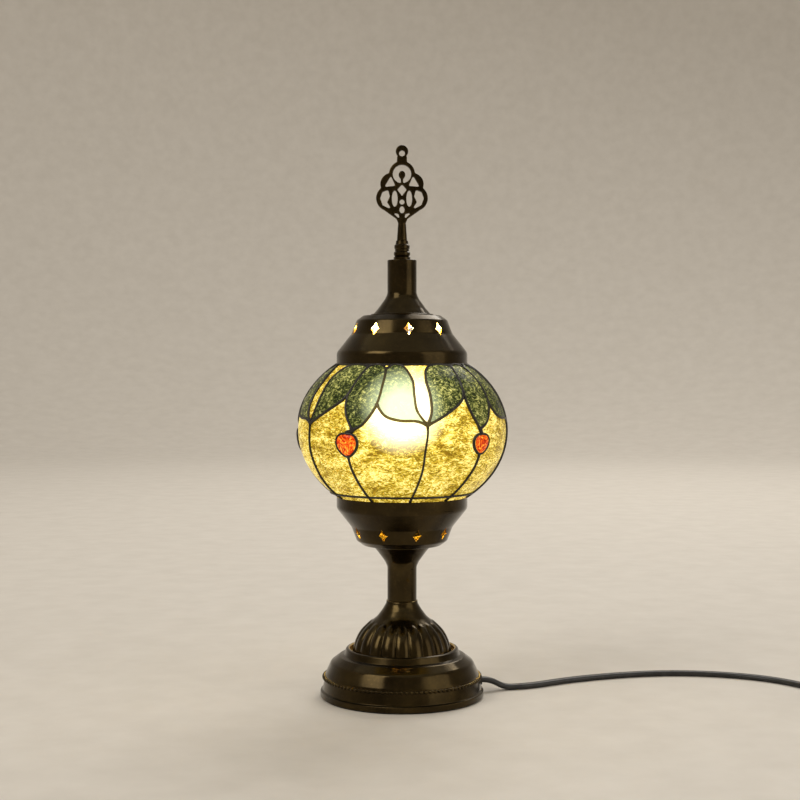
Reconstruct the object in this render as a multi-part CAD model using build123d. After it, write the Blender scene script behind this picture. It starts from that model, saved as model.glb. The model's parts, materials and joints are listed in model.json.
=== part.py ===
from build123d import *
import math
import os

# Mosaic glass table lamp. Millimetres, +Z up, -Y is the front.
# Origin: centre of the foot's underside, on the table.
# Angles round the lamp are measured from the front, positive towards +X.

# ---- driving dimensions -------------------------------------------------------------
sheet = 0.8                  # pressed steel sheet
fit = 0.05                   # gap left between pieces that touch or are bonded

globe_radius = 64.4          # glass, at its widest
globe_half_height = 51.9     # of the full oval that the glass is cut from
globe_centre_z = 164.8
glass_thickness = 2.2
globe_opening = 36.0         # radius of the two openings

bowl_rim_radius = 40.6       # the cap and the gallery cup are the same pressing
bowl_height = 30.0
cap_rim_z = 206.0
cup_rim_z = 123.6

base_radius = 50.6
foot_plate_z = 26.6          # flat seat under the ribbed dome
dome_radius = 31.0
dome_top_z = 59.1
neck_radius = 9.1
trumpet_lip_radius = 19.4
trumpet_length = bowl_height + cup_rim_z - 2 * bowl_height - dome_top_z - fit

rod_radius = 4.95            # M10 x 1 hollow lamp rod
rod_bore = 3.4
rod_hole = 5.3
stud_radius = 2.95           # M6 stud of the cap
stud_hole = 3.2

leaf_group_count = 5
first_tip_angle = 13.4       # first pair of leaves meets here, right of the front
lead_width = 1.5
stem_width = 1.1

cable_width = 5.4
cable_thickness = 3.4
cable_floor_z = cable_thickness / 2 + 0.1
cable_exit_angle = 12.0      # behind the +X axis
cable_exit_z = 7.4
cable_bend = 20.0            # radius where it drops to the table or rises from it

switch_length = 60.0
switch_width = 24.0
switch_height = 17.0
switch_wall = 1.8
rocker_pivot_z = 12.6
plug_z = 7.0

os.makedirs("parts", exist_ok=True)


# ---- helpers ------------------------------------------------------------------------
def turned(points):
    """Solid turned about Z from a closed (radius, z) outline."""
    outline = Polyline(*points, close=True)
    return revolve(Plane.XZ * make_face(outline), Axis.Z)


def ring(outer, inner, low, high):
    return turned([(inner, low), (outer, low), (outer, high), (inner, high)])


def disc(radius, low, high):
    return Pos(0, 0, (low + high) / 2) * Cylinder(radius, high - low)


def beside(points, radii, distance):
    """A bent path moved to its right, with the bend radii that keep its width even."""
    steps = [(Vector(*end) - Vector(*start)).normalized() for start, end in zip(points, points[1:])]
    sides = [Vector(step.Y, -step.X) for step in steps]
    moved = [Vector(*points[0]) + sides[0] * distance]
    bends = []
    for corner, radius, before, after in zip(points[1:-1], radii, sides, sides[1:]):
        moved.append(Vector(*corner) + (before + after) * (distance / (1 + before.dot(after))))
        turns_left = before.cross(after).Z > 0
        bends.append(max(radius + distance * (1 if turns_left else -1), 0.1))
    moved.append(Vector(*points[-1]) + sides[-1] * distance)
    return FilletPolyline(*moved, radius=bends)


def sheet_section(points, radii, thickness):
    """Strip on the right of a bent path (left if thickness is negative)."""
    near = FilletPolyline(*points, radius=radii)
    far = beside(points, radii, thickness)
    return make_face(near + Line(near @ 1, far @ 1) + far + Line(far @ 0, near @ 0))


def pressed(points, radii, thickness=sheet):
    """Sheet pressing turned about Z; points run along its outer face, hole to rim."""
    section = sheet_section(points, radii, thickness)
    return revolve(Plane.XZ * section, Axis.Z)


def hex_nut(across_flats, bore, low, high):
    blank = extrude(RegularPolygon(across_flats / 2, 6, major_radius=False), high - low)
    return Pos(0, 0, low) * blank - disc(bore, low - 1, high + 1)


def around(solid, count, start=0.0):
    """Copies of a solid at even steps about Z."""
    return [Rot(0, 0, start + 360 * k / count) * solid for k in range(count)]


def oval_shell(outer, inner, low, high):
    """Part of the globe between two offsets of its glass surface and two heights."""
    big = Ellipse(globe_radius + outer, globe_half_height + outer)
    small = Ellipse(globe_radius + inner, globe_half_height + inner)
    window = Pos(globe_radius, (low + high) / 2 - globe_centre_z) * Rectangle(
        2 * globe_radius, high - low
    )
    section = Pos(0, globe_centre_z) * ((big - small) & window)
    return revolve(Plane.XZ * section, Axis.Z)


def facing(angle):
    """Upright plane through the lamp's axis that faces the given angle."""
    a = math.radians(angle)
    return Plane(
        origin=(0, 0, 0),
        x_dir=(math.cos(a), math.sin(a), 0),
        z_dir=(math.sin(a), -math.cos(a), 0),
    )


def moved_on(place, move):
    """Next place along a run. A place is (point, direction, up); a move is one of
    ("ahead", length), ("turn", degrees to the left, radius), ("climb", degrees, radius)."""
    point, direction, up = place
    if move[0] == "ahead":
        return point + direction * move[1], direction, up
    angle = math.radians(move[1])
    radius = math.copysign(move[2], angle)
    towards = up.cross(direction) if move[0] == "turn" else up
    turned_direction = direction * math.cos(angle) + towards * math.sin(angle)
    turned_towards = towards * math.cos(angle) - direction * math.sin(angle)
    point = point + (towards - turned_towards) * radius
    return point, turned_direction, up if move[0] == "turn" else turned_towards


def run_end(place, moves):
    for move in moves:
        place = moved_on(place, move)
    return place


def bent_run(place, moves, section):
    """Solid of one section along straight runs and round bends."""
    solids = []
    for move in moves:
        point, direction, up = place
        side = up.cross(direction)
        face = Plane(origin=point, x_dir=side, z_dir=direction) * section
        if move[0] == "ahead":
            solids.append(extrude(face, move[1]))
        else:
            sign = math.copysign(1, move[1])
            towards = side if move[0] == "turn" else up
            pivot = point + towards * (sign * move[2])
            spin = direction.cross(towards) * sign
            solids.append(revolve(face, Axis(pivot, spin), revolution_arc=abs(move[1])))
        place = moved_on(place, move)
    return solids[0].fuse(*solids[1:])


def drop(height):
    """Two bends that lower a level cable (raise it if height is negative)."""
    angle = math.degrees(math.acos(1 - abs(height) / (2 * cable_bend)))
    angle = math.copysign(angle, height)
    return [("climb", -angle, cable_bend), ("climb", angle, cable_bend)]


def save(part, name):
    export_step(part, f"parts/{name}.step")


# ---- the cable's course, which places the switch and the plug ---------------------------
cable_top_z = 111.0
rod_bend = 7.6
foot_wall = 48.0
port_depth = 8.0             # cable inside the switch or the plug
port_z = switch_height / 2

outwards = Vector(math.cos(math.radians(cable_exit_angle)), math.sin(math.radians(cable_exit_angle)), 0)
lamp_cord_start = (Vector(0, 0, cable_top_z), Vector(0, 0, -1), outwards)
lamp_cord_moves = [
    ("ahead", cable_top_z - cable_exit_z - rod_bend),
    ("climb", 90, rod_bend),
    ("ahead", foot_wall + 3 - rod_bend),
    *drop(cable_exit_z - cable_floor_z),
    ("turn", 22, 60),
    ("turn", -22, 190),
    ("turn", -38, 105),
    ("turn", -37, 72),
    *drop(cable_floor_z - port_z),
    ("ahead", port_depth),
]
switch_heading = cable_exit_angle + 22 - 22 - 38 - 37
entry = run_end(lamp_cord_start, lamp_cord_moves[:-1])
switch_centre = entry[0] + entry[1] * (switch_length / 2)
switch_exit = entry[0] + entry[1] * switch_length

plug_cord_start = (switch_exit - entry[1] * port_depth, entry[1], Vector(0, 0, 1))
plug_cord_moves = [
    ("ahead", port_depth + 2),
    *drop(port_z - cable_floor_z),
    ("turn", 90 - switch_heading, 26),
    ("ahead", 84),
    ("turn", 180, 12),
    ("ahead", 56),
    ("turn", -180, 12),
    ("ahead", 10),
    *drop(cable_floor_z - plug_z),
    ("ahead", port_depth + 2),
]
plug_end = run_end(plug_cord_start, plug_cord_moves)[0]
plug_x = plug_end.X
plug_face_y = plug_end.Y + 50 - port_depth


# ---- foot ---------------------------------------------------------------------------
def foot_shell():
    """Pressed foot with a stepped ring round the dome and a raised band for the beads."""
    band_radius = 47.9
    band_z = 12.2
    outline = [
        (rod_hole, foot_plate_z),
        (31.9, foot_plate_z),
        (32.6, 30.2),
        (34.7, 29.6),
        (36.0, 25.9),
        (39.0, 25.2),
        (44.2, 21.4),
        (47.6, 14.0),
        (49.2, 4.7),
        (base_radius, 4.0),
        (base_radius, 0.9),
    ]
    bends = [0.3, 0.8, 0.8, 0.4, 1.5, 4.0, 5.0, 0.5, 0.4]
    shell = pressed(outline, bends)
    shell += Pos(0, 0, band_z) * Torus(band_radius, 0.7)
    exit_hole = Pos(base_radius, 0, cable_exit_z) * Rot(0, 90, 0) * Cylinder(3.45, 14)
    return shell - Rot(0, 0, cable_exit_angle) * exit_hole


def felt_pad():
    return disc(base_radius - 1.2, 0, 0.85)


def ribbed_dome():
    rib_count = 20
    groove_radius = 1.5
    wall = 3.2
    top = [(9.6, dome_top_z), (9.9, 57.6), (12.3, 53.6)]
    low_z = foot_plate_z + fit
    side = Spline(top[2], (16.3, 49.2), (20.8, 45.4), (25.6, 40.6), (28.9, 34.5), (dome_radius, low_z))
    outline = (
        Polyline((0, low_z), (0, dome_top_z), *top)
        + side
        + Line((dome_radius, low_z), (0, low_z))
    )
    body = revolve(Plane.XZ * make_face(outline), Axis.Z)
    hollow = turned([(0, 0), (dome_radius - wall, 0), (dome_radius - wall, low_z + 3), (9.0, 47), (0, 47)])
    crest = Spline((21.8, 46.2), (26.3, 41.4), (29.9, 34.8), (32.4, 25.0))
    path = Plane.XZ * crest
    start = Plane(path @ 0, z_dir=path % 0)
    groove = sweep(start * Circle(groove_radius), path=path)
    groove += Pos(*(path @ 0)) * Sphere(groove_radius)
    body = body - hollow - disc(rod_hole, 0, dome_top_z + 1)
    return body - around(groove, rib_count, 180 / rib_count)


# ---- stem ---------------------------------------------------------------------------
def trumpet(top_hole):
    """Flared tube: lip at z = 0, closed end at z = trumpet_length."""
    outline = [
        (top_hole, trumpet_length),
        (neck_radius, trumpet_length),
        (neck_radius, 13.4),
        (10.6, 10.2),
        (14.8, 4.4),
        (17.8, sheet),
        (trumpet_lip_radius, sheet),
    ]
    return pressed(outline, [0.6, 6, 8, 12, 1.0])


def stem_trumpet():
    lip_z = cup_rim_z - bowl_height - fit
    return Pos(0, 0, lip_z) * mirror(trumpet(rod_hole), about=Plane.XY)


def threaded_rod():
    return ring(rod_radius, rod_bore, 17.0, 106.5)


def rod_washer():
    return ring(12.0, rod_hole, 24.75, foot_plate_z - sheet - fit)


def rod_nut():
    return hex_nut(14.0, rod_radius + fit, 20.6, 24.7)


# ---- pressed bowls: gallery cup and cap ----------------------------------------------
def pierced_bowl(plate_hole, hole_phase):
    """Rim at z = 0, closed end upwards; nine four-pointed openings."""
    opening_count = 9
    opening_z = 21.4
    outline = [
        (plate_hole, bowl_height),
        (24.0, bowl_height),
        (28.2, 27.0),
        (31.4, 18.6),
        (bowl_rim_radius, 7.0),
        (bowl_rim_radius, 0.0),
    ]
    bowl = pressed(outline, [1.4, 2.2, 3.0, 4.5])
    right, high, waist = (3.2, 0), (0, 4.9), (1.3, 1.75)
    quarter = ThreePointArc(high, waist, right)
    half = quarter + mirror(quarter, about=Plane.XZ)
    star = make_face(half + mirror(half, about=Plane.YZ))
    star = fillet(star.vertices(), 0.45)
    cutter = Pos(0, 0, opening_z) * extrude(Plane.XZ * star, 60)
    return bowl - around(cutter, opening_count, hole_phase)


def gallery_cup():
    bowl = pierced_bowl(rod_hole, 17.5)
    return Pos(0, 0, cup_rim_z) * mirror(bowl, about=Plane.XY)


def gallery_washer():
    low = cup_rim_z - bowl_height + sheet + fit
    return ring(11.0, rod_hole, low, low + 1.0)


def gallery_nut():
    low = cup_rim_z - bowl_height + sheet + 1.0 + 2 * fit
    return hex_nut(14.0, rod_radius + fit, low, low + 4.0)


# ---- glass --------------------------------------------------------------------------
def glass_globe():
    spread = math.sqrt(1 - (globe_opening / globe_radius) ** 2)
    reach = globe_half_height * spread
    return oval_shell(0, -glass_thickness, globe_centre_z - reach, globe_centre_z + reach)


def globe_seat_ring():
    """Bead of cement between the cup's rim and the glass."""
    wall = bowl_rim_radius - sheet - fit
    return turned([(37.0, 118.4), (wall, 118.4), (wall, 123.0), (37.0, 121.9)])


# Leaf outlines: (degrees from the pair's tip, z).
right_leaf = [(1.0, 172.6), (3.9, 186), (3.6, 200), (10.0, 204.0), (27.5, 203.5), (25.4, 191),
              (21.5, 185.3), (9.8, 177.4)]
berry_leaf = [(32.0, 169.8), (27.6, 179), (27.2, 190), (31.5, 202.5), (38.5, 204.4), (45.2, 202.0),
              (45.4, 192), (43.4, 182.0)]
left_leaf = [(-1.2, 172.6), (-6.3, 180), (-7.4, 195), (-12.2, 202.8), (-24.5, 203.0), (-24.4, 193),
             (-26.0, 183.8), (-14.5, 174.8)]
berry_angle = 32.0
berry_z = 159.4
berry_radius = 6.7
group_middle = 10.0


def flat_point(spot):
    """A point of the globe, (angle, z), seen square on from the group's middle."""
    angle, z = spot
    drop = (z - globe_centre_z) / globe_half_height
    radius = globe_radius * math.sqrt(1 - drop * drop)
    return (radius * math.sin(math.radians(angle - group_middle)), z)


def leaf_panes():
    """Three leaf-shaped panes to a group, bonded to the glass."""
    plane = facing(first_tip_angle + group_middle)
    shell = oval_shell(1.0, fit, cup_rim_z + 0.2, 204.8)
    panes = []
    for leaf in (right_leaf, berry_leaf, left_leaf):
        outline = make_face(Polyline(*[flat_point(spot) for spot in leaf], close=True))
        pane = extrude(plane * outline, globe_radius + 10) & shell
        panes += around(pane, leaf_group_count)
    return Compound(panes)


def berry_gems():
    plane = facing(first_tip_angle + berry_angle)
    gem = extrude(plane * Pos(0, berry_z) * Circle(berry_radius - 0.9), globe_radius + 10)
    shell = oval_shell(2.0, fit, 140, 180)
    return Compound(around(gem & shell, leaf_group_count))


def meridian_strip(angle, width, low, high, relief):
    """Upright strip on the glass at an angle from the front."""
    slab = facing(angle) * Pos(0, (low + high) / 2) * Rectangle(width, high - low)
    return extrude(slab, globe_radius + 10) & oval_shell(relief, fit, low, high)


def lead_lines():
    """Raised lines: two rings, the stems and a ring round each berry."""
    relief = 1.3
    low_ring = oval_shell(relief, fit, 126.3, 127.5)
    top_ring = oval_shell(relief, fit, 204.9, cap_rim_z - 0.1)
    tip_stem = meridian_strip(first_tip_angle, stem_width, 127.6, 170.6, relief)
    berry_stem = meridian_strip(first_tip_angle + berry_angle, stem_width, 127.6, 151.0, relief)
    plane = facing(first_tip_angle + berry_angle)
    collar = Circle(berry_radius + lead_width) - Circle(berry_radius - 0.8)
    socket = extrude(plane * Pos(0, berry_z) * collar, globe_radius + 10)
    socket &= oval_shell(relief, fit, 140, 180)
    lines = [low_ring, top_ring]
    for line in (tip_stem, berry_stem, socket):
        lines += around(line, leaf_group_count)
    return Compound(lines)


# ---- lamp holder, E14 -----------------------------------------------------------------
holder_low = 99.6
holder_split = 119.0
holder_top = 147.0
holder_radius = 14.0
shell_bore = 7.05
tip_z = 122.5                # underside of the bulb's centre contact, bulb fully home


def holder_base():
    wall = 2.0
    floor = 3.0
    boss = disc(8.0, holder_low, holder_low + 8)
    cup = disc(holder_radius, holder_low, holder_split)
    cup -= disc(holder_radius - wall, holder_low + floor, holder_split + 1)
    cup = chamfer(cup.faces().sort_by(Axis.Z)[0].outer_wire().edges(), 2.5)
    return cup + boss - disc(rod_radius + fit, holder_low - 1, holder_split)


def holder_body():
    wall = 2.0
    tube = ring(holder_radius, holder_radius - wall, holder_split + fit, holder_top)
    lip = ring(holder_radius - 1, shell_bore + 1.6, holder_top - 2.0, holder_top)
    seat = ring(holder_radius - 1, 10.6, 123.2, 125.2)
    return tube + lip + seat


def contact_carrier():
    disc_body = disc(11.9, 113.0, 118.9)
    wire_passage = Pos(0, 0, 116) * Box(4.8, 9.2, 10)
    terminals = [Pos(side * 6.5, 0, 0) * disc(2.05, 112, 120) for side in (-1, 1)]
    return disc_body - wire_passage - terminals


def holder_shell():
    tube = ring(shell_bore + 0.4, shell_bore, 123.9, 144.8)
    flange = ring(10.5, shell_bore, 123.4, 123.9)
    return tube + flange


def bent_strip(points, radii, thickness, width):
    """Metal strip bent in the XZ plane, centred on Y = 0."""
    section = sheet_section(points, radii, thickness)
    return Pos(0, width / 2, 0) * extrude(Plane.XZ * section, width)


def centre_contact():
    return bent_strip(
        [(-8.6, 118.95), (-3.4, 118.95), (-0.4, 121.9), (2.6, 121.0)], [1, 0.8], -0.4, 4.0
    ) - Pos(-6.5, 0, 0) * disc(1.55, 117, 121)


def side_contact():
    return bent_strip([(4.4, 118.95), (10.1, 118.95), (10.1, 123.3)], [1], -0.4, 4.0) - Pos(
        6.5, 0, 0
    ) * disc(1.55, 117, 121)


def terminal_screws():
    screw = disc(1.5, 110.5, 119.45) + disc(2.8, 119.5 - fit, 121.2)
    slot = Pos(0, 0, 121.2) * Box(6, 0.7, 1.4)
    return Compound([Pos(side * 6.5, 0, 0) * (screw - slot) for side in (-1, 1)])


def core_wires():
    """The cable's two cores, bent out and over to the terminals."""
    bend = math.radians(72)
    moves = [("ahead", 2.0), ("climb", 35, 5.0), ("climb", -35, 5.0), ("ahead", 0.6), ("climb", 90, 1.6)]
    wires = []
    for side in (-1, 1):
        sideways = Vector(side * math.cos(bend), side * math.sin(bend), 0)
        start = (Vector(0, side * 1.35, cable_top_z + fit), Vector(0, 0, 1), sideways)
        wires.append(bent_run(start, moves, Circle(0.9)))
    return Compound(wires)


# ---- bulb, E14 with a 45 mm diffuser ---------------------------------------------------
bulb_radius = 22.5
bulb_centre_z = 178.0
diffuser_low_z = 168.0


def bulb_contact():
    return turned([(0, tip_z), (1.6, tip_z), (2.3, tip_z + 0.8), (2.3, tip_z + 1.5), (0, tip_z + 1.5)])


def bulb_insulator():
    low = tip_z + 1.5 + fit
    return turned([(0, low), (2.6, low), (5.6, 126.9), (5.6, 128.0), (0, 128.0)])


def bulb_cap():
    wall = 0.35
    outer = shell_bore - 0.1
    return ring(outer, outer - wall, 128.0 + fit, 146.0) + ring(outer, 5.4, 128.0 + fit, 128.5)


def bulb_housing():
    rim = math.sqrt(bulb_radius**2 - (bulb_centre_z - diffuser_low_z) ** 2)
    outer = [(6.5, 131.0), (6.5, 146.1), (7.6, 147.4), (10.2, 151.5), (rim, diffuser_low_z - fit)]
    inner = [(rim - 1.6, diffuser_low_z - fit), (8.8, 152.2), (5.0, 147.0), (5.0, 131.0)]
    return turned(outer + inner)


def bulb_dome():
    wall = 1.2
    ball = Sphere(bulb_radius) - Sphere(bulb_radius - wall)
    below = Pos(0, 0, diffuser_low_z - bulb_centre_z - bulb_radius) * Box(60, 60, 2 * bulb_radius)
    return Pos(0, 0, bulb_centre_z) * (ball - below)


def led_board():
    return disc(15.5, 165.4, 166.6)


def led_chips():
    chip = Pos(10.0, 0, 167.0) * Box(2.8, 2.8, 0.7)
    return Compound(around(chip, 10))


# ---- cap ----------------------------------------------------------------------------
plate_z = cap_rim_z + bowl_height - sheet     # underside of the cap's plate


def cap_shell():
    return Pos(0, 0, cap_rim_z) * pierced_bowl(stud_hole, 7.5)


def cap_trumpet():
    return Pos(0, 0, cap_rim_z + bowl_height + fit) * trumpet(stud_hole)


def spring_spider():
    """Three sprung arms that centre the cap in the globe's opening."""
    leaf = 0.4
    high = plate_z - fit
    arm = bent_strip(
        [(9.0, high), (23.0, high), (27.6, 222.0), (30.2, 208.5), (30.2, 204.5), (28.4, 198.5)],
        [2, 6, 4, 4], leaf, 8.0,
    )
    hub = ring(10.0, stud_hole, high - leaf, high)
    return hub.fuse(*around(arm, 3, 30))


def cap_washer():
    high = plate_z - 0.4 - 2 * fit
    return ring(8.0, stud_hole, high - 1.2, high)


def cap_nut():
    high = plate_z - 0.4 - 1.2 - 3 * fit
    return hex_nut(10.0, stud_radius + fit, high - 5.0, high)


def cap_stud():
    return disc(stud_radius, 225.5, 277.3)


trumpet_top_z = cap_rim_z + bowl_height + fit + trumpet_length
collar_top_z = trumpet_top_z + 12.0


def finial_collar():
    low = trumpet_top_z + fit
    top = collar_top_z
    outline = [(0, low), (5.2, low), (5.2, low + 1.6), (4.5, low + 2.2), (5.1, low + 3.0),
               (5.1, low + 4.6), (4.4, low + 5.2), (4.4, low + 6.6), (4.8, low + 7.2),
               (4.8, low + 9.0), (4.0, low + 9.8), (3.7, top), (0, top)]
    socket = disc(2.6, 277.5, top + 1)
    return turned(outline) - disc(stud_radius + fit, low - 1, 277.5) - socket


def mirrored(shape):
    return shape + mirror(shape, about=Plane.YZ)


def finial_sketch():
    """Openwork outline in (x, z): lobes first, then the openings."""
    body = Pos(0, 338.0) * Circle(3.9)
    body += Pos(0, 332.3) * Rectangle(6.2, 4.6)
    body += Pos(0, 323.9) * Circle(8.1)
    lobes = Pos(6.5, 317.6) * Circle(7.0) + Pos(8.1, 308.9) * Circle(8.0)
    taper = Polyline(
        (0, 293.0), (2.5, 293.6), (3.4, 296.0), (7.0, 298.5), (12.2, 302.2), (0, 306), close=True
    )
    body += mirrored(lobes + make_face(taper))
    body = body - Pos(0, 336.7) * Circle(1.85)
    body -= Pos(0, 323.9) * Circle(5.7)
    triangle = FilletPolyline((6.9, 322.8), (10.9, 315.9), (4.2, 316.6), radius=0.5, close=True)
    oval = Pos(4.5, 308.6) * Ellipse(1.75, 5.0)
    crescent = FilletPolyline(
        (8.6, 314.0), (12.2, 312.6), (13.5, 308.8), (12.0, 304.6), (6.0, 301.4),
        (9.3, 306.4), (7.6, 310.0), radius=0.7, close=True,
    )
    sliver = FilletPolyline((5.8, 299.9), (2.1, 299.0), (1.4, 295.8), radius=0.25, close=True)
    openings = oval + make_face(triangle) + make_face(crescent) + make_face(sliver)
    body -= mirrored(openings)
    diamond = FilletPolyline((0, 317.4), (2.9, 314.2), (0, 310.4), (-2.9, 314.2), radius=0.6, close=True)
    drop = Pos(0, 301.7) * Ellipse(1.55, 2.2)
    body -= make_face(diamond) + Pos(0, 306.5) * Circle(1.55) + drop
    bud = Pos(0, 323.4) * Ellipse(2.1, 2.5) + Pos(0, 319.5) * Rectangle(1.5, 4.6)
    return body + bud


def finial():
    thickness = 4.2
    casting = Pos(0, thickness / 2, 0) * extrude(Plane.XZ * finial_sketch(), thickness)
    stem = turned([(0, 277.6), (2.5, 277.6), (2.5, collar_top_z + fit), (3.2, collar_top_z + fit),
                   (3.0, 286.0), (2.4, 294.6), (1.6, 297.2), (0, 297.2)])
    return casting + stem


# ---- mains cable ---------------------------------------------------------------------
def cable_section():
    return SlotOverall(cable_width, cable_thickness)


def lamp_cord():
    """From the lamp holder, down the rod, out of the foot and along the table."""
    return bent_run(lamp_cord_start, lamp_cord_moves, cable_section())


def plug_cord():
    """From the switch, back and forth on the table and into the plug."""
    return bent_run(plug_cord_start, plug_cord_moves, cable_section())


def cord_grommet():
    bush = Rot(0, 90, 0) * Cylinder(3.4, 4.4)
    flange = Pos(-2.6, 0, 0) * Rot(0, 90, 0) * Cylinder(4.6, 1.0)
    slot = Plane.YZ * SlotOverall(cable_width + 0.5, cable_thickness + 0.5)
    opening = extrude(slot, 10, both=True)
    return Rot(0, 0, cable_exit_angle) * Pos(48.6, 0, cable_exit_z) * (bush + flange - opening)


# ---- in-line switch --------------------------------------------------------------------
# Built along X, centred on the origin, underside at z = 0.
switch_split = port_z
screw_spots = [(-21.0, 7.6), (21.0, -7.6)]
window_length = 21.4
window_width = 12.4


def switch_block(low, high, inset=0.0):
    face = RectangleRounded(switch_length - 2 * inset, switch_width - 2 * inset, 9 - inset)
    return Pos(0, 0, low) * extrude(face, high - low)


def cable_ports():
    slot = Plane.YZ * SlotOverall(cable_width + 0.2, cable_thickness + 0.2)
    return Pos(0, 0, switch_split) * extrude(slot, switch_length, both=True)


def placed_switch(part):
    return Pos(switch_centre.X, switch_centre.Y, 0) * Rot(0, 0, switch_heading) * part


def switch_base():
    shell = switch_block(0, switch_split - fit)
    shell = fillet(shell.faces().sort_by(Axis.Z)[0].edges(), 1.5)
    shell -= switch_block(switch_wall, switch_height, switch_wall)
    for x, y in screw_spots:
        shell += Pos(x, y, switch_split / 2 - 0.5) * Cylinder(3.6, switch_split - 2)
        shell -= Pos(x, y, 0) * (disc(1.55, -1, switch_height) + disc(2.85, -1, 2.2))
    return placed_switch(shell - cable_ports())


def switch_cover():
    shell = switch_block(switch_split, switch_height)
    shell = fillet(shell.faces().sort_by(Axis.Z)[-1].edges(), 3.0)
    shell -= switch_block(0, switch_height - switch_wall, switch_wall)
    shell -= Pos(0, 0, switch_height) * Box(window_length, window_width, 10)
    for x, y in screw_spots:
        boss = Pos(x, y, 0) * disc(3.4, switch_split, switch_height - switch_wall + 0.5)
        shell += boss & switch_block(switch_split, switch_height - 1)
        shell -= Pos(x, y, 0) * disc(1.45, 0, 14.5)
    cheeks = []
    for side in (-1, 1):
        cheeks.append(Pos(0, side * 7.4, 13.0) * Box(7, 1.8, 5.4))
    shell = shell.fuse(*cheeks)
    bore = Pos(0, 0, rocker_pivot_z) * Rot(90, 0, 0) * Cylinder(1.02, 17.4)
    return placed_switch(shell - cable_ports() - bore)


def switch_screws():
    screws = []
    for x, y in screw_spots:
        screws.append(Pos(x, y, 0) * (disc(1.4, 1.0, 13.5) + disc(2.7, 0.6, 2.1)))
    return placed_switch(Compound(screws))


def rocker_pin():
    return placed_switch(Pos(0, 0, rocker_pivot_z) * Rot(90, 0, 0) * Cylinder(0.98, 16.6))


def switch_rocker():
    """Two-faced rocker, shown pressed down on its +X side (switched on)."""
    half = 9.3
    tilt = 8.0
    profile = Polyline(
        (-half, rocker_pivot_z + 1.0), (-half, rocker_pivot_z + 5.6), (0, rocker_pivot_z + 4.2),
        (half, rocker_pivot_z + 5.6), (half, rocker_pivot_z + 1.0), (2.4, rocker_pivot_z - 2.6),
        (-2.4, rocker_pivot_z - 2.6), close=True,
    )
    body = Pos(0, 5.9, 0) * extrude(Plane.XZ * make_face(profile), 11.8)
    body -= Pos(0, 0, rocker_pivot_z) * Rot(90, 0, 0) * Cylinder(1.05, 20)
    turn = Pos(0, 0, rocker_pivot_z) * Rot(0, tilt, 0) * Pos(0, 0, -rocker_pivot_z)
    return placed_switch(turn * body)


def switch_contacts():
    """Brass strips on the floor of the switch, with a raised pad each for the rocker."""
    strip_z = switch_wall + fit + 0.4
    strips = []
    for side in (-1, 1):
        strip = Pos(side * 11.25, -4.0, strip_z) * Box(10.5, 5, 0.8)
        pad = Pos(side * 9.0, -4.0, strip_z + 1.2) * Box(6, 5, 1.6)
        strips.append(strip + pad)
    return placed_switch(Compound(strips))


# ---- two-pin plug -----------------------------------------------------------------------
# Built along +Y, with the pins' face at y = 0.
pin_spacing = 18.6
pin_radius = 2.0
pin_length = 19.0
sleeve_length = 10.0
core_radius = 1.5


def placed_plug(part):
    return Pos(plug_x, plug_face_y, plug_z) * part


def along_y(radius, low, high, x=0.0):
    return Pos(x, (low + high) / 2, 0) * Rot(90, 0, 0) * Cylinder(radius, high - low)


def plug_body():
    outline = FilletPolyline(
        (-17.6, 0), (17.6, 0), (17.6, -10), (7.4, -33), (4.6, -50), (-4.6, -50), (-7.4, -33),
        (-17.6, -10), radius=[1.5, 1.5, 6, 8, 1, 1, 8, 6], close=True,
    )
    blank = Pos(0, 0, -6.8) * extrude(make_face(outline), 13.6)
    side = Polyline((0.5, 6.8), (0.5, -6.8), (-22, -6.8), (-36, -4.4), (-50.5, -4.4), (-50.5, 4.4),
                    (-36, 4.4), (-22, 6.8), close=True)
    wedge = extrude(Plane.YZ * make_face(side), 20, both=True)
    body = blank & wedge
    slot = Pos(0, -51, 0) * extrude(Plane.XZ * SlotOverall(cable_width + 0.1, cable_thickness + 0.1), -13.1)
    for side_x in (-pin_spacing / 2, pin_spacing / 2):
        body -= along_y(core_radius + fit, -9.1, 1, side_x)
    return placed_plug(body - slot)


def plug_pins():
    pins = []
    for x in (-pin_spacing / 2, pin_spacing / 2):
        pin = along_y(core_radius, -9.0, sleeve_length + 1, x)
        tip = along_y(pin_radius, sleeve_length + fit, pin_length, x)
        tip = fillet(tip.faces().sort_by(Axis.Y)[-1].edges(), 1.2)
        pins.append(pin + tip)
    return placed_plug(Compound(pins))


def pin_sleeves():
    sleeves = []
    for x in (-pin_spacing / 2, pin_spacing / 2):
        tube = along_y(pin_radius - 0.05, fit, sleeve_length, x)
        sleeves.append(tube - along_y(core_radius + 0.02, -1, sleeve_length + 1, x))
    return placed_plug(Compound(sleeves))


pieces = [
    felt_pad, foot_shell, ribbed_dome, rod_washer, rod_nut, threaded_rod, stem_trumpet,
    gallery_cup, gallery_washer, gallery_nut, globe_seat_ring, glass_globe, leaf_panes,
    berry_gems, lead_lines, holder_base, holder_body, holder_shell, contact_carrier,
    centre_contact, side_contact, terminal_screws, core_wires, bulb_contact, bulb_insulator,
    bulb_cap, bulb_housing, bulb_dome, led_board, led_chips, cap_shell, cap_trumpet,
    spring_spider, cap_washer, cap_nut, cap_stud, finial_collar, finial, lamp_cord, plug_cord,
    cord_grommet, switch_base, switch_cover, switch_screws, rocker_pin,
    switch_rocker, switch_contacts, plug_body, plug_pins, pin_sleeves,
]

for piece in pieces:
    save(piece(), piece.__name__)
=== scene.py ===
import bmesh
import bpy
import json
import math
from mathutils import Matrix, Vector, noise


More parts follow.
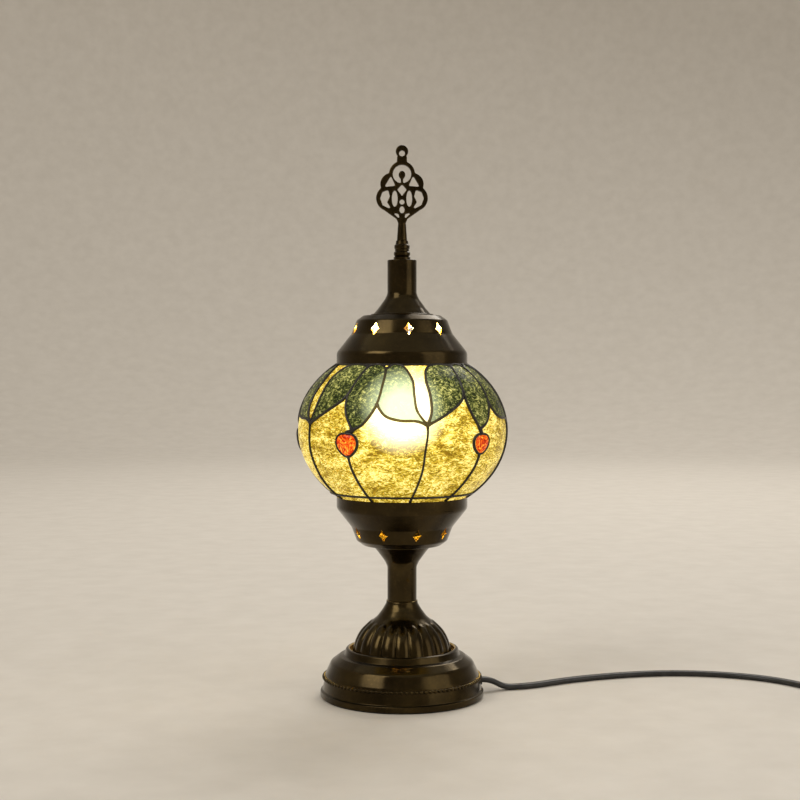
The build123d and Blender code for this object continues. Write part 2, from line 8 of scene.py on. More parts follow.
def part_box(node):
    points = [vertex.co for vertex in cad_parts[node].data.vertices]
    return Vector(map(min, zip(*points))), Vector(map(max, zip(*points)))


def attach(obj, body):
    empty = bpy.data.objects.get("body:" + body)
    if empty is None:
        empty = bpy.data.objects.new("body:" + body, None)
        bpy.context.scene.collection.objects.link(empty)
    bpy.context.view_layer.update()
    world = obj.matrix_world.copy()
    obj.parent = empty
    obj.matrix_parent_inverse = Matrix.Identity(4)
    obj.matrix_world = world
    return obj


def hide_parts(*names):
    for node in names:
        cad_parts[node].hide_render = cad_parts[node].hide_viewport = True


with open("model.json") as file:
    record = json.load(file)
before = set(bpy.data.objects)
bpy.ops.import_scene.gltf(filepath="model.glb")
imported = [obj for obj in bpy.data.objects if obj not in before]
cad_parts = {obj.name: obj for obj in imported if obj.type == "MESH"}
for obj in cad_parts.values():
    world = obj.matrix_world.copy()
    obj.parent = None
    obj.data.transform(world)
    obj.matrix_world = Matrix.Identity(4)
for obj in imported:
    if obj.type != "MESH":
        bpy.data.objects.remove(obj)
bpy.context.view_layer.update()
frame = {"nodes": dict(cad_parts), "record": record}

# Mosaic glass table lamp, lit. Metres, +Z up, -Y is the front.
# Angles round the lamp are in degrees from the front, positive towards +X.
# Heights in the outline lists below are in millimetres.
MM = 0.001

# ---- places taken from the CAD frame --------------------------------------------------
glass_low, glass_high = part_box("glass_globe")
globe_radius = glass_high.x
globe_middle = (glass_low.z + glass_high.z) / 2
globe_half_height = 51.9 * MM            # of the full oval that the glass is cut from
dome_low_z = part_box("ribbed_dome")[0].z
bulb_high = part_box("bulb_dome")[1]
bulb_radius = bulb_high.x
bulb_middle = bulb_high.z - bulb_radius
cap_rim_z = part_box("cap_shell")[0].z
floor_z = 0.0

group_count = 5
group_step = 360 / group_count
first_tip_angle = 13.4                   # the first pair of leaves meets here
line_width = 1.75 * MM
stem_width = 1.35 * MM
line_height = 1.2 * MM


# ---- mesh helpers ---------------------------------------------------------------------
def join_rings(bm, one, two):
    """Band of faces between two closed rings of as many points."""
    for i in range(len(one)):
        j = (i + 1) % len(one)
        bm.faces.new((one[i], one[j], two[j], two[i]))


def ring_of(bm, radius, z, segments):
    """Level ring of points round the Z axis."""
    ring = []
    for k in range(segments):
        a = 2 * math.pi * k / segments
        ring.append(bm.verts.new((radius * math.cos(a), radius * math.sin(a), z)))
    return ring


def finish_mesh(bm, name, body, slot, material, *replaced):
    """Turns a bmesh into a smooth named piece that rides on a body."""
    bmesh.ops.recalc_face_normals(bm, faces=bm.faces)
    mesh = bpy.data.meshes.new(name)
    bm.to_mesh(mesh)
    bm.free()
    mesh.shade_smooth()
    piece = bpy.data.objects.new(name, mesh)
    bpy.context.scene.collection.objects.link(piece)
    piece.data.materials.append(material)
    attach(piece, body)
    if replaced:
        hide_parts(*replaced)
    return piece


def on_globe(angle, z, lift):
    """Point of the oval glass at an angle and a height, raised along its normal."""
    steepest = 0.98
    drop = max(-steepest, min(steepest, (z - globe_middle) / globe_half_height))
    radius = globe_radius * math.sqrt(1 - drop * drop)
    a = math.radians(angle)
    point = Vector((radius * math.sin(a), -radius * math.cos(a), z))
    normal = Vector((
        point.x / globe_radius**2,
        point.y / globe_radius**2,
        (z - globe_middle) / globe_half_height**2,
    ))
    return point + normal.normalized() * lift


def curve_through(points, per_span=8):
    """Smooth open curve through (angle, height) points, as a list of points."""
    ends = [points[0], *points, points[-1]]
    line = []
    for before, start, end, after in zip(ends, ends[1:], ends[2:], ends[3:]):
        for k in range(per_span):
            t = k / per_span
            line.append(tuple(
                0.5 * (2 * s + (e - b) * t + (2 * b - 5 * s + 4 * e - f) * t * t
                       + (3 * s - b - 3 * e + f) * t**3)
                for b, s, e, f in zip(before, start, end, after)
            ))
    line.append(points[-1])
    return line


def shifted(points, angle):
    """Outline points moved round the lamp, with heights turned from mm to metres."""
    return [(a + angle, z * MM) for a, z in points]


def raised_line(bm, path, width, height, closed=False, swell=0.0):
    """Half-round bead along (angle, z) points on the glass; swell widens its ends."""
    foot_lift = 0.05 * MM
    swell_reach = 2.2 * MM
    unevenness = 0.10
    arc_steps = 6
    spots = [on_globe(a, z, foot_lift) for a, z in path]
    lifted = [on_globe(a, z, foot_lift + height) for a, z in path]
    count = len(spots)
    rings = []
    for k, (spot, high) in enumerate(zip(spots, lifted)):
        ahead = spots[(k + 1) % count] if closed or k + 1 < count else spot
        behind = spots[k - 1] if closed or k > 0 else spot
        along = (ahead - behind).normalized()
        up = (high - spot).normalized()
        side = along.cross(up).normalized()
        to_end = min((spot - spots[0]).length, (spot - spots[-1]).length)
        wobble = 1 + unevenness * noise.noise(spot * 260)
        half = width / 2 * wobble * (1 + swell * math.exp(-(to_end / swell_reach) ** 2))
        ring = []
        for step in range(arc_steps + 1):
            turn = math.pi * step / arc_steps
            across = side * (half * math.cos(turn))
            ring.append(bm.verts.new(spot + across + up * (height * math.sin(turn))))
        rings.append(ring)
    pairs = list(zip(rings, rings[1:]))
    if closed:
        pairs.append((rings[-1], rings[0]))
    for near, far in pairs:
        join_rings(bm, near, far)
    if not closed:
        bm.faces.new(rings[0])
        bm.faces.new(list(reversed(rings[-1])))


def domed_pane(bm, outline, edge_height, crown, ripple=0.0):
    """Closed pane of glass on the globe: flat back, top rising from its edge to its middle."""
    shares = (1.0, 0.95, 0.85, 0.7, 0.5, 0.3, 0.12)
    back_lift = 0.06 * MM
    middle_a = sum(a for a, z in outline) / len(outline)
    middle_z = sum(z for a, z in outline) / len(outline)

    def ring(share, height):
        made = []
        for a, z in outline:
            here_a = middle_a + (a - middle_a) * share
            here_z = middle_z + (z - middle_z) * share
            lift = height
            if ripple and share < 1:
                lift += ripple * noise.noise(on_globe(here_a, here_z, 0) * 320)
            made.append(bm.verts.new(on_globe(here_a, here_z, lift)))
        return made

    tops = [ring(s, edge_height + crown * math.sqrt(max(0.0, 1 - s**2))) for s in shares]
    backs = [ring(s, back_lift) for s in shares]
    for rings in (tops, backs):
        for one, two in zip(rings, rings[1:]):
            join_rings(bm, one, two)
        bm.faces.new(rings[-1])
    join_rings(bm, tops[0], backs[0])


def turned_grid(bm, outline, segments, offset):
    """Closed outline of (r, z) turned about Z; offset(angle, r, z) changes its radius."""
    rows = []
    for r, z in outline:
        row = []
        for k in range(segments):
            a = 2 * math.pi * k / segments
            radius = r - offset(a, r, z)
            row.append(bm.verts.new((radius * math.cos(a), radius * math.sin(a), z)))
        rows.append(row)
    for one, two in zip(rows, rows[1:] + rows[:1]):
        join_rings(bm, one, two)


# ---- material helpers -----------------------------------------------------------------
class Look:
    """One Principled material with short ways to add textures to it."""

    def __init__(self, name):
        self.material = bpy.data.materials.new(name)
        self.material.use_nodes = True
        self.nodes = self.material.node_tree.nodes
        self.links = self.material.node_tree.links
        self.bsdf = self.nodes["Principled BSDF"]
        self.place = self.nodes.new("ShaderNodeTexCoord").outputs["Object"]

    def put(self, **values):
        for name, value in values.items():
            self.bsdf.inputs[name.replace("_", " ")].default_value = value
        return self

    def noise(self, scale, detail=4.0, stretch=(1, 1, 1), distortion=0.0):
        mapping = self.nodes.new("ShaderNodeMapping")
        mapping.inputs["Scale"].default_value = stretch
        self.links.new(self.place, mapping.inputs["Vector"])
        texture = self.nodes.new("ShaderNodeTexNoise")
        texture.inputs["Scale"].default_value = scale
        texture.inputs["Detail"].default_value = detail
        texture.inputs["Distortion"].default_value = distortion
        self.links.new(mapping.outputs[0], texture.inputs["Vector"])
        return texture.outputs["Fac"]

    def ridges(self, scale, width, stretch=(1, 1, 1), distortion=0.0):
        """0 on thin wandering lines, rising to 1 a little way off them."""
        cloud = self.noise(scale, 3.0, stretch, distortion)
        away = self.math("ABSOLUTE", self.math("SUBTRACT", cloud, 0.5), 0.0)
        return self.span(away, 0.0, 1.0, 0.0, width)

    def ramp(self, source, stops):
        node = self.nodes.new("ShaderNodeValToRGB")
        elements = node.color_ramp.elements
        while len(elements) < len(stops):
            elements.new(0.5)
        for element, (position, colour) in zip(elements, stops):
            element.position = position
            element.color = (*colour, 1)
        self.links.new(source, node.inputs["Fac"])
        return node.outputs["Color"]

    def span(self, source, low, high, start=0.3, end=0.7):
        """Maps start..end of a source to low..high."""
        node = self.nodes.new("ShaderNodeMapRange")
        node.inputs["From Min"].default_value = start
        node.inputs["From Max"].default_value = end
        node.inputs["To Min"].default_value = low
        node.inputs["To Max"].default_value = high
        self.links.new(source, node.inputs["Value"])
        return node.outputs["Result"]

    def math(self, operation, one, two):
        node = self.nodes.new("ShaderNodeMath")
        node.operation = operation
        for socket, value in zip(node.inputs, (one, two)):
            if isinstance(value, (int, float)):
                socket.default_value = value
            else:
                self.links.new(value, socket)
        return node.outputs[0]

    def total(self, first, *others):
        """Sum of sources, each given as (source, weight)."""
        level = self.math("MULTIPLY", *first)
        for source in others:
            level = self.math("ADD", level, self.math("MULTIPLY", *source))
        return level

    def mix(self, share, one, two):
        node = self.nodes.new("ShaderNodeMix")
        node.data_type = "RGBA"
        for socket, value in ((node.inputs[0], share), (node.inputs[6], one), (node.inputs[7], two)):
            if isinstance(value, (int, float)):
                socket.default_value = value
            elif isinstance(value, tuple):
                socket.default_value = (*value, 1)
            else:
                self.links.new(value, socket)
        return node.outputs[2]

    def feed(self, **sources):
        for name, source in sources.items():
            self.links.new(source, self.bsdf.inputs[name.replace("_", " ")])
        return self

    def bump(self, height, depth, strength=1.0):
        """Bump of a depth in metres."""
        node = self.nodes.new("ShaderNodeBump")
        node.inputs["Strength"].default_value = strength
        node.inputs["Distance"].default_value = depth
        self.links.new(height, node.inputs["Height"])
        self.links.new(node.outputs["Normal"], self.bsdf.inputs["Normal"])
        return self

    def outwards(self):
        """1 where a face looks away from the lamp's axis, 0 where it looks inwards."""
        flat = self.nodes.new("ShaderNodeVectorMath")
        flat.operation = "MULTIPLY"
        self.links.new(self.place, flat.inputs[0])
        flat.inputs[1].default_value = (1, 1, 0)
        facing = self.nodes.new("ShaderNodeVectorMath")
        facing.operation = "DOT_PRODUCT"
        geometry = self.nodes.new("ShaderNodeNewGeometry")
        to_object = self.nodes.new("ShaderNodeVectorTransform")
        to_object.vector_type = "NORMAL"
        to_object.convert_from = "WORLD"
        to_object.convert_to = "OBJECT"
        self.links.new(geometry.outputs["True Normal"], to_object.inputs[0])
        self.links.new(flat.outputs[0], facing.inputs[0])
        self.links.new(to_object.outputs[0], facing.inputs[1])
        return self.span(facing.outputs["Value"], 0.0, 1.0, -0.001, 0.001)

    def bulb_behind(self, near, far):
        """1 where the line of sight passes within near of the bulb's middle, 0 beyond far; it masks the
        painted glow where the bulb is behind a surface.
        """
        geometry = self.nodes.new("ShaderNodeNewGeometry")
        from_bulb = self.nodes.new("ShaderNodeVectorMath")
        from_bulb.operation = "SUBTRACT"
        from_bulb.inputs[1].default_value = (0, 0, bulb_middle)
        across = self.nodes.new("ShaderNodeVectorMath")
        across.operation = "CROSS_PRODUCT"
        distance = self.nodes.new("ShaderNodeVectorMath")
        distance.operation = "LENGTH"
        self.links.new(self.place, from_bulb.inputs[0])
        self.links.new(from_bulb.outputs[0], across.inputs[0])
        self.links.new(geometry.outputs["Incoming"], across.inputs[1])
        self.links.new(across.outputs[0], distance.inputs[0])
        return self.span(distance.outputs["Value"], 1.0, 0.0, near, far)


def moulded(name, dark, light, roughness, grain=900.0, depth=0.00004, metallic=0.0):
    """Everyday finish: colour variation, uneven roughness and a fine grain."""
    look = Look(name).put(Metallic=metallic)
    tone = look.noise(grain / 9, 5)
    look.feed(
        Base_Color=look.ramp(tone, [(0.3, dark), (0.7, light)]),
        Roughness=look.span(look.noise(grain / 4, 3), roughness - 0.07, roughness + 0.10),
    )
    return look.bump(look.noise(grain, 2), depth, 0.6).material


# ---- materials ------------------------------------------------------------------------
def bronze_look(name, pressed):
    """Dark glossy antique bronze; pressed sheet gets golden inside faces, bare metal made bright as
    painted light from the bulb.
    """
    look = Look(name).put(Metallic=0.95)
    patina = look.noise(42, 5, distortion=0.3)
    outside = look.ramp(patina, [(0.30, (0.022, 0.015, 0.006)), (0.55, (0.042, 0.029, 0.011)),
                                 (0.78, (0.075, 0.052, 0.018))])
    rubbed = look.span(look.noise(600, 3), 0.0, 0.20, 0.55, 0.80)
    colour = look.mix(rubbed, outside, (0.15, 0.10, 0.04))
    if pressed:
        # Inside faces: bare golden metal, kept bright as painted light from the bulb on the inner
        # walls.
        colour = look.mix(look.outwards(), (0.70, 0.50, 0.18), colour)
    look.feed(Base_Color=colour, Roughness=look.span(look.noise(130, 4), 0.13, 0.25))
    return look.bump(look.noise(210, 3), 0.00005, 0.5).material


def amber_look():
    """Crackled gold glass with streaks; its glow from the bulb inside is painted on as emission, with a
    painted hot spot where the bulb is behind it.
    """
    look = Look("amber_crackle_glass")
    dark_strokes = look.ridges(120, 0.070, (1, 1, 2.4), 2.4)
    pale_strokes = look.ridges(150, 0.075, (1, 1, 2.2), 2.0)
    cloud = look.noise(48, 5, (1, 1, 1.8), 1.1)
    grain = look.noise(330, 2, (1, 1, 2.0), 0.8)
    level = look.total((dark_strokes, 0.22), (pale_strokes, -0.24), (cloud, 0.80), (grain, 0.42))
    tone = look.ramp(level, [(0.42, (0.11, 0.070, 0.004)), (0.54, (0.34, 0.24, 0.014)),
                             (0.66, (0.66, 0.50, 0.055)), (0.82, (1.0, 0.88, 0.34))])
    # Painted hot spot of the bulb seen through the glass, and a painted glow that is brighter nearer
    # the bulb.
    painted_hot_spot = look.bulb_behind(13 * MM, 30 * MM)
    painted_glow = look.span(look.bulb_behind(20 * MM, 66 * MM), 0.80, 1.3, 0.0, 1.0)
    look.put(IOR=1.2, Transmission_Weight=0.25)
    # The glass glows by emission: painted light standing in for the bulb shining through it.
    look.feed(
        Base_Color=look.mix(0.6, tone, (0.24, 0.15, 0.012)),
        Emission_Color=look.mix(painted_hot_spot, tone, (1.0, 0.95, 0.66)),
        Emission_Strength=look.math("ADD", painted_glow, painted_hot_spot),
        Roughness=look.span(cloud, 0.12, 0.28),
    )
    return look.bump(level, 0.00040, 0.8).material


def leaf_look():
    """Mottled olive and dark green glass, with a painted glow by emission that is paler where the bulb
    is behind it.
    """
    look = Look("mottled_green_glass")
    speckle = look.ridges(300, 0.11, (1, 1, 1.2), 1.6)
    grain = look.noise(480, 3, distortion=0.5)
    drift = look.noise(48, 3)
    level = look.total((speckle, 0.26), (grain, 0.60), (drift, 0.42))
    tone = look.ramp(level, [(0.52, (0.008, 0.012, 0.003)), (0.66, (0.050, 0.062, 0.014)),
                             (0.77, (0.17, 0.18, 0.045)), (0.90, (0.55, 0.52, 0.17))])
    painted_hot_spot = look.bulb_behind(9 * MM, 27 * MM)
    painted_glow = look.span(look.bulb_behind(15 * MM, 60 * MM), 0.45, 1.1, 0.0, 1.0)
    look.put(IOR=1.2, Transmission_Weight=0.08)
    # Painted glow: emission stands in for the bulb's light through the glass.
    look.feed(
        Base_Color=tone,
        Emission_Color=look.mix(look.math("MULTIPLY", painted_hot_spot, 0.90), tone, (0.88, 0.98, 0.58)),
        Emission_Strength=look.math("ADD", painted_glow, look.math("MULTIPLY", painted_hot_spot, 0.45)),
        Roughness=look.span(drift, 0.12, 0.26),
    )
    return look.bump(level, 0.00030, 0.8).material


def berry_look():
    """Orange-red glass with amber streaks, with a painted glow by emission, brighter where the bulb is
    behind it.
    """
    look = Look("streaked_red_glass")
    streak = look.noise(290, 4, (1, 1, 0.7), 2.6)
    tone = look.ramp(streak, [(0.36, (0.28, 0.010, 0.001)), (0.48, (0.68, 0.055, 0.002)),
                              (0.55, (0.94, 0.20, 0.008)), (0.62, (1.0, 0.55, 0.05))])
    look.put(IOR=1.3)
    look.feed(
        Base_Color=look.mix(0.6, tone, (0.25, 0.01, 0.001)),
        # Painted glow: the glass's own streaks as emission, stronger where the bulb is behind it.
        Emission_Color=tone,
        Emission_Strength=look.span(look.bulb_behind(20 * MM, 66 * MM), 0.75, 1.05, 0.0, 1.0),
        Roughness=look.span(streak, 0.10, 0.22),
    )
    return look.bump(streak, 0.00020, 0.6).material


def relief_look():
    """Black raised line, with a painted golden brown glow by emission where the bulb is behind it."""
    look = Look("black_relief_line")
    gloss = look.noise(700, 3)
    painted_hot_spot = look.bulb_behind(6 * MM, 27 * MM)
    look.feed(
        Base_Color=look.ramp(gloss, [(0.3, (0.005, 0.004, 0.003)), (0.7, (0.020, 0.015, 0.008))]),
        # Painted glow: golden brown emission on the black line where the bulb is behind it.
        Emission_Color=look.ramp(gloss, [(0.3, (0.38, 0.24, 0.03)), (0.7, (0.55, 0.40, 0.06))]),
        Emission_Strength=look.span(painted_hot_spot, 0.0, 0.45, 0.0, 1.0),
        Roughness=look.span(gloss, 0.26, 0.44),
    )
    return look.bump(gloss, 0.00012, 0.6).material


def bulb_look():
    """Opal diffuser, lit."""
    look = Look("lit_diffuser").put(Roughness=0.4)
    cloud = look.noise(120, 3)
    look.feed(
        Base_Color=look.ramp(cloud, [(0.3, (0.95, 0.88, 0.70)), (0.7, (1.0, 0.95, 0.82))]),
        Emission_Color=look.ramp(cloud, [(0.3, (1.0, 0.80, 0.42)), (0.7, (1.0, 0.86, 0.52))]),
        Emission_Strength=look.span(cloud, 11.0, 13.0),
    )
    return look.material


def threaded_look(name, dark, light, pitch):
    """Turned metal with a thread's fine ridges as bump."""
    band_at_scale_one = 0.314                # metres from one band of the wave to the next
    look = Look(name).put(Metallic=1.0)
    wave = look.nodes.new("ShaderNodeTexWave")
    wave.bands_direction = "Z"
    wave.inputs["Scale"].default_value = band_at_scale_one / pitch
    look.links.new(look.place, wave.inputs["Vector"])
    look.feed(
        Base_Color=look.ramp(look.noise(150, 4), [(0.3, dark), (0.7, light)]),
        Roughness=look.span(look.noise(300, 3), 0.22, 0.40),
    )
    return look.bump(wave.outputs["Fac"], pitch * 0.25, 0.7).material


looks = {
    "bronze": bronze_look("antique_bronze", pressed=True),
    "felt": moulded("black_felt", (0.008, 0.008, 0.009), (0.035, 0.034, 0.033), 0.88, 2600, 0.0002),
    "zinc_steel": moulded("zinc_plated_steel", (0.42, 0.42, 0.41), (0.66, 0.66, 0.63), 0.32, 1200,
                          0.00003, metallic=1.0),
    "rod_brass": threaded_look("threaded_brass", (0.52, 0.36, 0.13), (0.80, 0.60, 0.26), 1.0 * MM),
    "cement": moulded("plaster_cement", (0.55, 0.52, 0.45), (0.82, 0.79, 0.71), 0.85, 900, 0.0002),
    "amber_glass": amber_look(),
    "green_glass": leaf_look(),
    "red_glass": berry_look(),
    "lead": relief_look(),
    "black_plastic": moulded("holder_phenolic", (0.010, 0.010, 0.010), (0.035, 0.034, 0.033), 0.42),
    "ceramic": moulded("porcelain", (0.74, 0.71, 0.65), (0.90, 0.88, 0.83), 0.45, 700),
    "nickel": threaded_look("nickel_plate", (0.50, 0.48, 0.45), (0.78, 0.76, 0.72), 2.822 * MM),
    "white_plastic": moulded("white_housing", (0.78, 0.77, 0.74), (0.90, 0.89, 0.87), 0.30),
    "diffuser": bulb_look(),
    "board": moulded("led_board_face", (0.70, 0.71, 0.70), (0.88, 0.88, 0.87), 0.40, 1500, 0.00002),
    "led": moulded("phosphor_chip", (0.80, 0.66, 0.16), (0.95, 0.83, 0.30), 0.35, 3000, 0.00002),
    "cable_black": moulded("cable_pvc", (0.006, 0.006, 0.006), (0.022, 0.021, 0.020), 0.34, 1500,
                           0.00005),
    "switch_black": moulded("switch_plastic", (0.008, 0.008, 0.009), (0.028, 0.028, 0.028), 0.36,
                            2200, 0.00006),
}


def paint_cad_nodes():
    """Gives every CAD node the look of its slot; the castings have no bare inside, so no golden inside
    faces with painted bulb light.
    """
    cast_bronze = bronze_look("cast_bronze", pressed=False)
    castings = ("finial_collar", "finial")
    for entry in frame["record"]["subparts"]:
        piece = frame["nodes"][entry["node"]]
        piece.data.materials.clear()
        cast = entry["node"] in castings
        piece.data.materials.append(cast_bronze if cast else looks[entry["material_slot"]])


# ---- glass pattern --------------------------------------------------------------------
# Points are (degrees from the pair's tip, height in mm).
berry_angle = 32.0
berry_z = 159.4
stem_foot_z = 124.2
seat_line_z = 126.9
pair_tip = (0, 170.6)
berry_leaf_tip = (berry_angle, 167.6)
shared_top = (30.6, 204.3)
shared_foot = (26.1, 190)
left_leaf_top = (-26, 202.6)
left_leaf_corner = (-27.6, 183.0)

shared_side = [shared_top, (28.9, 200), (27.4, 195), shared_foot]
right_leaf_inner = [pair_tip, (2.6, 178), (3.1, 188), (2.7, 197), (6.5, 203.4), (18, 205.4), shared_top]
right_leaf_outer = [*shared_side, (22.3, 184.2), (9.8, 175.9), pair_tip]
berry_leaf_left = [berry_leaf_tip, (27.2, 177), (25.6, 185), shared_foot]
berry_leaf_right = [shared_top, (38.5, 205.4), (46, 202.6), (46.4, 193), (44.4, 182), (38.2, 171.6),
                    berry_leaf_tip]
left_leaf_inner = [pair_tip, (-5.2, 178.5), (-6.3, 188), (-6.6, 196.5), (-11.5, 203.6), (-19.5, 205.4),
                   left_leaf_top]
left_leaf_outer = [left_leaf_top, (-25.6, 193), left_leaf_corner]
left_leaf_foot = [left_leaf_corner, (-22.4, 176), (-14.5, 173.3), (-6, 172.9), pair_tip]
tip_stem = [pair_tip, (0, 165), (-1.1, 155), (-1.8, 143.5), (-3.6, 134.4), (-6.5, stem_foot_z)]

# One entry to a group, from the front's right round the lamp.
berry_shifts = (1.4, 0.5, -1.0, 1.0, -3.6)       # degrees
berry_widths = (12.0, 12.6, 13.0, 12.2, 13.0)    # mm, inside the raised line
berry_heights = (10.4, 11.6, 11.0, 12.0, 12.2)   # mm
stem_sways = (-6.6, 2.0, -3.0, 4.0, 4.0)         # degrees, from berry to cup


def group_angles():
    return [first_tip_angle + group_step * k for k in range(group_count)]


def leaf_outline(*sides):
    """Closed outline of a leaf from its sides, each starting where the last one ends."""
    outline = []
    for side in sides:
        outline += curve_through(side)[:-1]
    return outline


def berry_outline(group, margin=0.0):
    """Blunt heart shape round a berry."""
    points = 36
    broader_top = 0.12
    flatter_top = 0.10
    half_width = berry_widths[group] / 2 + margin
    half_height = berry_heights[group] / 2 + margin
    degrees_per_mm = math.degrees(1 / (globe_radius / MM))
    outline = []
    for k in range(points):
        t = 2 * math.pi * k / points
        across = half_width * math.sin(t) * (1 + broader_top * math.cos(t))
        up = half_height * (math.cos(t) - flatter_top * math.cos(t) ** 8)
        angle = berry_angle + berry_shifts[group] + across * degrees_per_mm
        outline.append((angle, berry_z + up))
    return outline


def build_leaf_glass():
    bm = bmesh.new()
    leaves = [
        leaf_outline(right_leaf_inner, right_leaf_outer),
        leaf_outline(berry_leaf_left, shared_side[::-1], berry_leaf_right),
        leaf_outline(left_leaf_inner, left_leaf_outer, left_leaf_foot),
    ]
    for angle in group_angles():
        for leaf in leaves:
            domed_pane(bm, shifted(leaf, angle), 0.35 * MM, 0.55 * MM, 0.25 * MM)
    finish_mesh(bm, "leaf_glass", "stand", "green_glass", looks["green_glass"], "leaf_panes")


def build_berry_glass():
    bm = bmesh.new()
    for group, angle in enumerate(group_angles()):
        domed_pane(bm, shifted(berry_outline(group, 0.3), angle), 0.5 * MM, 1.7 * MM, 0.12 * MM)
    finish_mesh(bm, "berry_glass", "stand", "red_glass", looks["red_glass"], "berry_gems")


def build_relief_lines():
    """Every raised line: round leaves and berries, the stems, and a ring at each opening."""
    bm = bmesh.new()
    leaf_lines = [right_leaf_inner, right_leaf_outer, berry_leaf_left, berry_leaf_right,
                  left_leaf_inner, left_leaf_foot]
    for group, angle in enumerate(group_angles()):
        for line in leaf_lines:
            raised_line(bm, shifted(curve_through(line), angle), line_width, line_height, swell=0.5)
        raised_line(bm, shifted(curve_through(tip_stem), angle), stem_width, line_height, swell=0.7)
        ring = shifted(berry_outline(group, 0.6), angle)
        raised_line(bm, ring, line_width, line_height * 1.25, closed=True)
        middle = berry_angle + berry_shifts[group]
        berry_top_z = berry_z + berry_heights[group] / 2
        berry_foot_z = berry_z - berry_heights[group] / 2 - 0.4
        sway = stem_sways[group]
        stem = [(middle, berry_foot_z), (middle + sway * 0.12, berry_foot_z - 8),
                (middle + sway * 0.45, 137), (middle + sway, stem_foot_z)]
        raised_line(bm, shifted(curve_through(stem), angle), stem_width, line_height, swell=0.8)
        link = [(middle, berry_top_z + 0.2), (berry_angle + 0.4, berry_leaf_tip[1])]
        raised_line(bm, shifted(curve_through(link), angle), line_width * 1.3, line_height, swell=0.4)
    ring_steps = 240
    for z in (seat_line_z * MM, cap_rim_z - 0.7 * MM):
        path = [(360 * k / ring_steps, z) for k in range(ring_steps)]
        raised_line(bm, path, stem_width, line_height * 0.9, closed=True)
    finish_mesh(bm, "relief_lines", "stand", "lead", looks["lead"], "lead_lines")


# ---- foot and dome --------------------------------------------------------------------
def build_foot_beads():
    """Row of beads on the foot's raised band."""
    bead_count = 104
    bead_radius = 1.2 * MM
    ring_radius = 48.4 * MM
    bead_z = 12.2 * MM
    bm = bmesh.new()
    for k in range(bead_count):
        made = bmesh.ops.create_icosphere(bm, subdivisions=2, radius=bead_radius)
        a = 2 * math.pi * k / bead_count
        place = Vector((ring_radius * math.cos(a), ring_radius * math.sin(a), bead_z))
        bmesh.ops.translate(bm, verts=made["verts"], vec=place)
    finish_mesh(bm, "foot_beads", "stand", "bronze", looks["bronze"])


def build_ribbed_dome():
    """Dome of round-topped ribs under a plain flare that stands a little inside them."""
    rib_count = 20
    steps_per_rib = 16
    lobe_depth = 0.085           # share of the radius
    lobe_fullness = 0.97         # 1 would make the grooves between ribs knife-sharp
    lobe_top = 43.6 * MM
    lobe_arch = 3.4 * MM
    flare_step = 0.9 * MM
    flare_top = 55 * MM
    flare_length = 6 * MM
    blend = 1.6 * MM
    neck = [(9.6, 59.1), (9.75, 58.2), (9.9, 57.4), (10.9, 55.6), (12.3, 53.6)]
    side = [(12.3, 53.6), (16.3, 49.2), (20.8, 45.4), (25.6, 40.6), (28.9, 34.5), (31.0, 26.65)]
    outer = neck[:-1] + curve_through(side, 14)
    inner = [(27.8, 26.65), (27.8, 29.6), (9.0, 47.0), (5.3, 47.0), (5.3, 59.1)]
    outline = [(r * MM, z * MM) for r, z in outer + inner]
    skin = set(outline[:len(outer)])

    def rib_offset(angle, r, z):
        if (r, z) not in skin or z < dome_low_z + 0.1 * MM:
            return 0.0
        across = 2 * ((angle / (2 * math.pi) * rib_count + 0.5) % 1) - 1
        top = lobe_top + lobe_arch * math.sqrt(1 - across**2)
        share = max(0.0, min(1.0, (top - z) / blend))
        share = share * share * (3 - 2 * share)
        lobe = lobe_depth * r * (1 - math.sqrt(1 - lobe_fullness * across**2))
        flare = flare_step * max(0.0, min(1.0, (flare_top - z) / flare_length))
        return flare * (1 - share) + lobe * share

    bm = bmesh.new()
    turned_grid(bm, outline, rib_count * steps_per_rib, rib_offset)
    finish_mesh(bm, "ribbed_dome_cast", "stand", "bronze", looks["bronze"], "ribbed_dome")


def soften_finial():
    """Rounds the flat casting's edges, as a real one's are."""
    piece = frame["nodes"]["finial"]
    remesh = piece.modifiers.new("cast_skin", "REMESH")
    remesh.mode = "VOXEL"
    remesh.voxel_size = 0.38 * MM
    remesh.use_smooth_shade = True
    smooth = piece.modifiers.new("cast_edges", "SMOOTH")
    smooth.factor = 0.5
    smooth.iterations = 5


# ---- stage ----------------------------------------------------------------------------
def build_floor():
    """Pale floor that curves up into a wall all round, like a studio sweep."""
    inner_radii = (0.4, 1.2)
    flat_radius = 2.2
    sweep_radius = 1.4
    wall_top = 4.0
    sweep_steps = 20
    segments = 96
    outline = [(radius, 0.0) for radius in (*inner_radii, flat_radius)]
    for k in range(1, sweep_steps + 1):
        a = math.pi / 2 * k / sweep_steps
        outline.append((flat_radius + sweep_radius * math.sin(a), sweep_radius * (1 - math.cos(a))))
    outline.append((flat_radius + sweep_radius, wall_top))
    bm = bmesh.new()
    rings = [ring_of(bm, radius, floor_z + z, segments) for radius, z in outline]
    bm.faces.new(rings[0])
    for one, two in zip(rings, rings[1:]):
        join_rings(bm, one, two)
    bmesh.ops.recalc_face_normals(bm, faces=bm.faces)
    mesh = bpy.data.meshes.new("floor")
    bm.to_mesh(mesh)
    bm.free()
    mesh.shade_smooth()
    floor = bpy.data.objects.new("floor", mesh)
    bpy.context.scene.collection.objects.link(floor)
    paint = moulded("pale_floor", (0.66, 0.62, 0.56), (0.71, 0.67, 0.61), 0.62, 300, 0.0001)
    mesh.materials.append(paint)


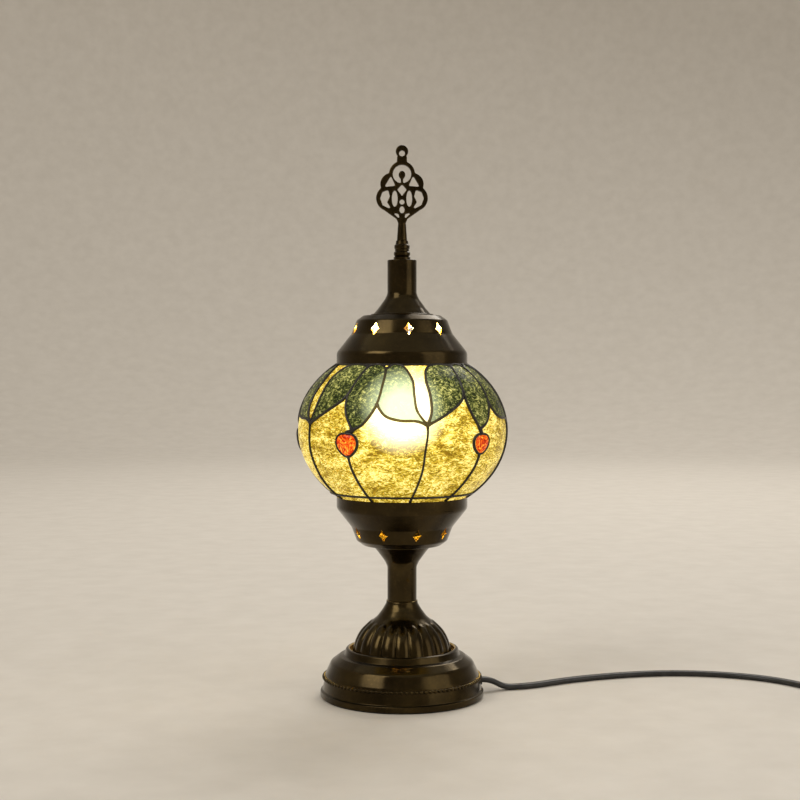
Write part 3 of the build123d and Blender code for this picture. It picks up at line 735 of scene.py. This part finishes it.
def area_light(name, place, target, size, power, colour):
    data = bpy.data.lights.new(name, "AREA")
    data.size = size
    data.energy = power
    data.color = colour
    light = bpy.data.objects.new(name, data)
    bpy.context.scene.collection.objects.link(light)
    light.location = place
    light.rotation_euler = (Vector(target) - Vector(place)).to_track_quat("-Z", "Y").to_euler()


def build_lights():
    """Three soft studio lamps, the bulb's own light and a pale surround."""
    target = (0, 0, globe_middle)
    area_light("key", (-1.3, -1.1, 1.5), target, 1.2, 18, (1.0, 0.96, 0.90))
    area_light("fill", (1.5, -0.9, 0.8), target, 1.4, 7, (1.0, 0.95, 0.88))
    area_light("back", (0.5, 1.4, 1.6), (0, 1.2, 0), 1.2, 18, (1.0, 0.96, 0.90))
    lamp = bpy.data.lights.new("bulb_light", "POINT")
    lamp.energy = 1.6
    lamp.color = (1.0, 0.74, 0.34)
    lamp.shadow_soft_size = bulb_radius
    glow_point = bpy.data.objects.new("bulb_light", lamp)
    glow_point.location = (0, 0, bulb_high.z + 9 * MM)
    bpy.context.scene.collection.objects.link(glow_point)
    world = bpy.data.worlds.new("studio")
    world.use_nodes = True
    background = world.node_tree.nodes["Background"]
    background.inputs["Color"].default_value = (0.80, 0.77, 0.72, 1)
    background.inputs["Strength"].default_value = 0.66
    bpy.context.scene.world = world
    bpy.context.scene.view_settings.view_transform = "Standard"


def build_camera():
    """Level view from the front."""
    distance = 0.902
    height = 0.2096
    frame_pixels = 800
    focal_pixels = 1450
    sensor = 36.0
    data = bpy.data.cameras.new("camera")
    data.sensor_width = sensor
    data.lens = sensor * focal_pixels / frame_pixels
    data.shift_x = -0.0025
    data.shift_y = -0.0525
    data.clip_start = 0.01
    data.clip_end = 60
    camera = bpy.data.objects.new("camera", data)
    bpy.context.scene.collection.objects.link(camera)
    camera.location = (0, -distance, height)
    camera.rotation_euler = (math.radians(90), 0, 0)
    bpy.context.scene.camera = camera


paint_cad_nodes()
build_leaf_glass()
build_berry_glass()
build_relief_lines()
build_foot_beads()
build_ribbed_dome()
soften_finial()
build_floor()
build_lights()
build_camera()
